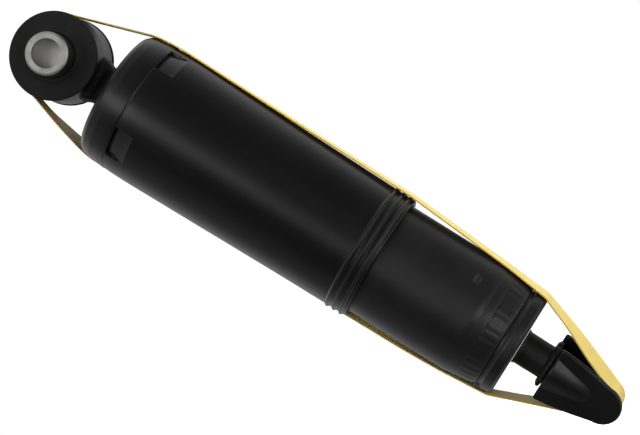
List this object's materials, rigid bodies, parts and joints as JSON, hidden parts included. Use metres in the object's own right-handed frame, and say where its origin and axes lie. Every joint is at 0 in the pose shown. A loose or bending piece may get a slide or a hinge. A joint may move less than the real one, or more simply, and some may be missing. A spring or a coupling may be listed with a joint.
{
  "type": "telescopic rear shock absorber",
  "caption": "Twin-tube telescopic rear shock absorber with a rubber-bushed eye, dust tube and stamped lower fork, held compressed by a plastic shipping strap.",
  "frame": {"origin": "centre of the cross pin in the lower fork, on the shock's axis", "axes": "+Z along the shock's axis towards the upper eye; Y along the upper eye's bore; the fork's pin is turned 20 degrees from Y about Z"},
  "size_m": [0.0618, 0.0598, 0.2972],
  "materials": {
    "black_paint": "black paint, semi-matte",
    "dust_tube_plastic": "moulded, fine grain",
    "bush_rubber": "matte moulded rubber",
    "zinc_steel": "turned and zinc plated",
    "chromed_rod": "polished hard chrome",
    "bare_steel": "cold drawn",
    "spring_steel": "blued spring steel",
    "sintered_iron": "sintered, oiled",
    "band_plastic": "filled low-friction plastic",
    "guide_bronze": "bronze, satin",
    "seal_rubber": "oil seal rubber",
    "strap_plastic": "embossed, translucent yellow"
  },
  "bodies": {
    "cylinder": {"reservoir_tube": "black_paint", "pressure_tube": "bare_steel", "rod_guide": "sintered_iron", "guide_bush": "guide_bronze", "rod_seal": "seal_rubber", "seal_cover": "bare_steel", "base_cap": "black_paint", "foot_valve_body": "sintered_iron", "foot_valve_discs": "spring_steel", "foot_valve_pin": "bare_steel", "foot_check_spring": "spring_steel", "stem": "black_paint", "fork_weld": "black_paint", "fork_plate_front": "black_paint", "fork_plate_rear": "black_paint", "fork_pin": "black_paint", "shipping_strap": "strap_plastic"},
    "band": {"piston_band": "band_plastic"},
    "rod": {"eye_ring": "black_paint", "eye_bush": "bush_rubber", "eye_weld": "black_paint", "dust_tube": "dust_tube_plastic", "top_cap": "bare_steel", "piston_rod": "chromed_rod", "rebound_stop_ring": "bare_steel", "rebound_buffer": "seal_rubber", "valve_stop_washer": "bare_steel", "piston_check_spring": "spring_steel", "piston": "sintered_iron", "rebound_valve_discs": "spring_steel", "piston_nut": "bare_steel"},
    "sleeve": {"eye_sleeve": "zinc_steel"},
    "piston_check": {"piston_check_plate": "spring_steel"},
    "foot_check": {"foot_check_plate": "spring_steel"}
  },
  "joints": [
    {"name": "rod_stroke", "type": "slide", "parent": "cylinder", "child": "band", "axis": [0, 0, 1], "range_m": [0, 0.095], "deforming": ["shipping_strap"]},
    {"name": "rod_twist", "type": "hinge", "parent": "band", "child": "rod", "pos_m": [0, 0, 0.087], "axis": [0, 0, 1], "continuous": true},
    {"name": "bush_twist", "type": "hinge", "parent": "rod", "child": "sleeve", "pos_m": [0, 0, 0.2692], "axis": [0, 1, 0], "range_deg": [-20, 20], "stiffness_Nm_per_rad": 40},
    {"name": "piston_check_lift", "type": "slide", "parent": "rod", "child": "piston_check", "axis": [0, 0, 1], "range_m": [0, 0.0008], "stiffness_N_per_m": 300, "springref_m": -0.001, "deforming": ["piston_check_spring"]},
    {"name": "foot_check_lift", "type": "slide", "parent": "cylinder", "child": "foot_check", "axis": [0, 0, 1], "range_m": [0, 0.0008], "stiffness_N_per_m": 300, "springref_m": -0.001, "deforming": ["foot_check_spring"]}
  ]
}
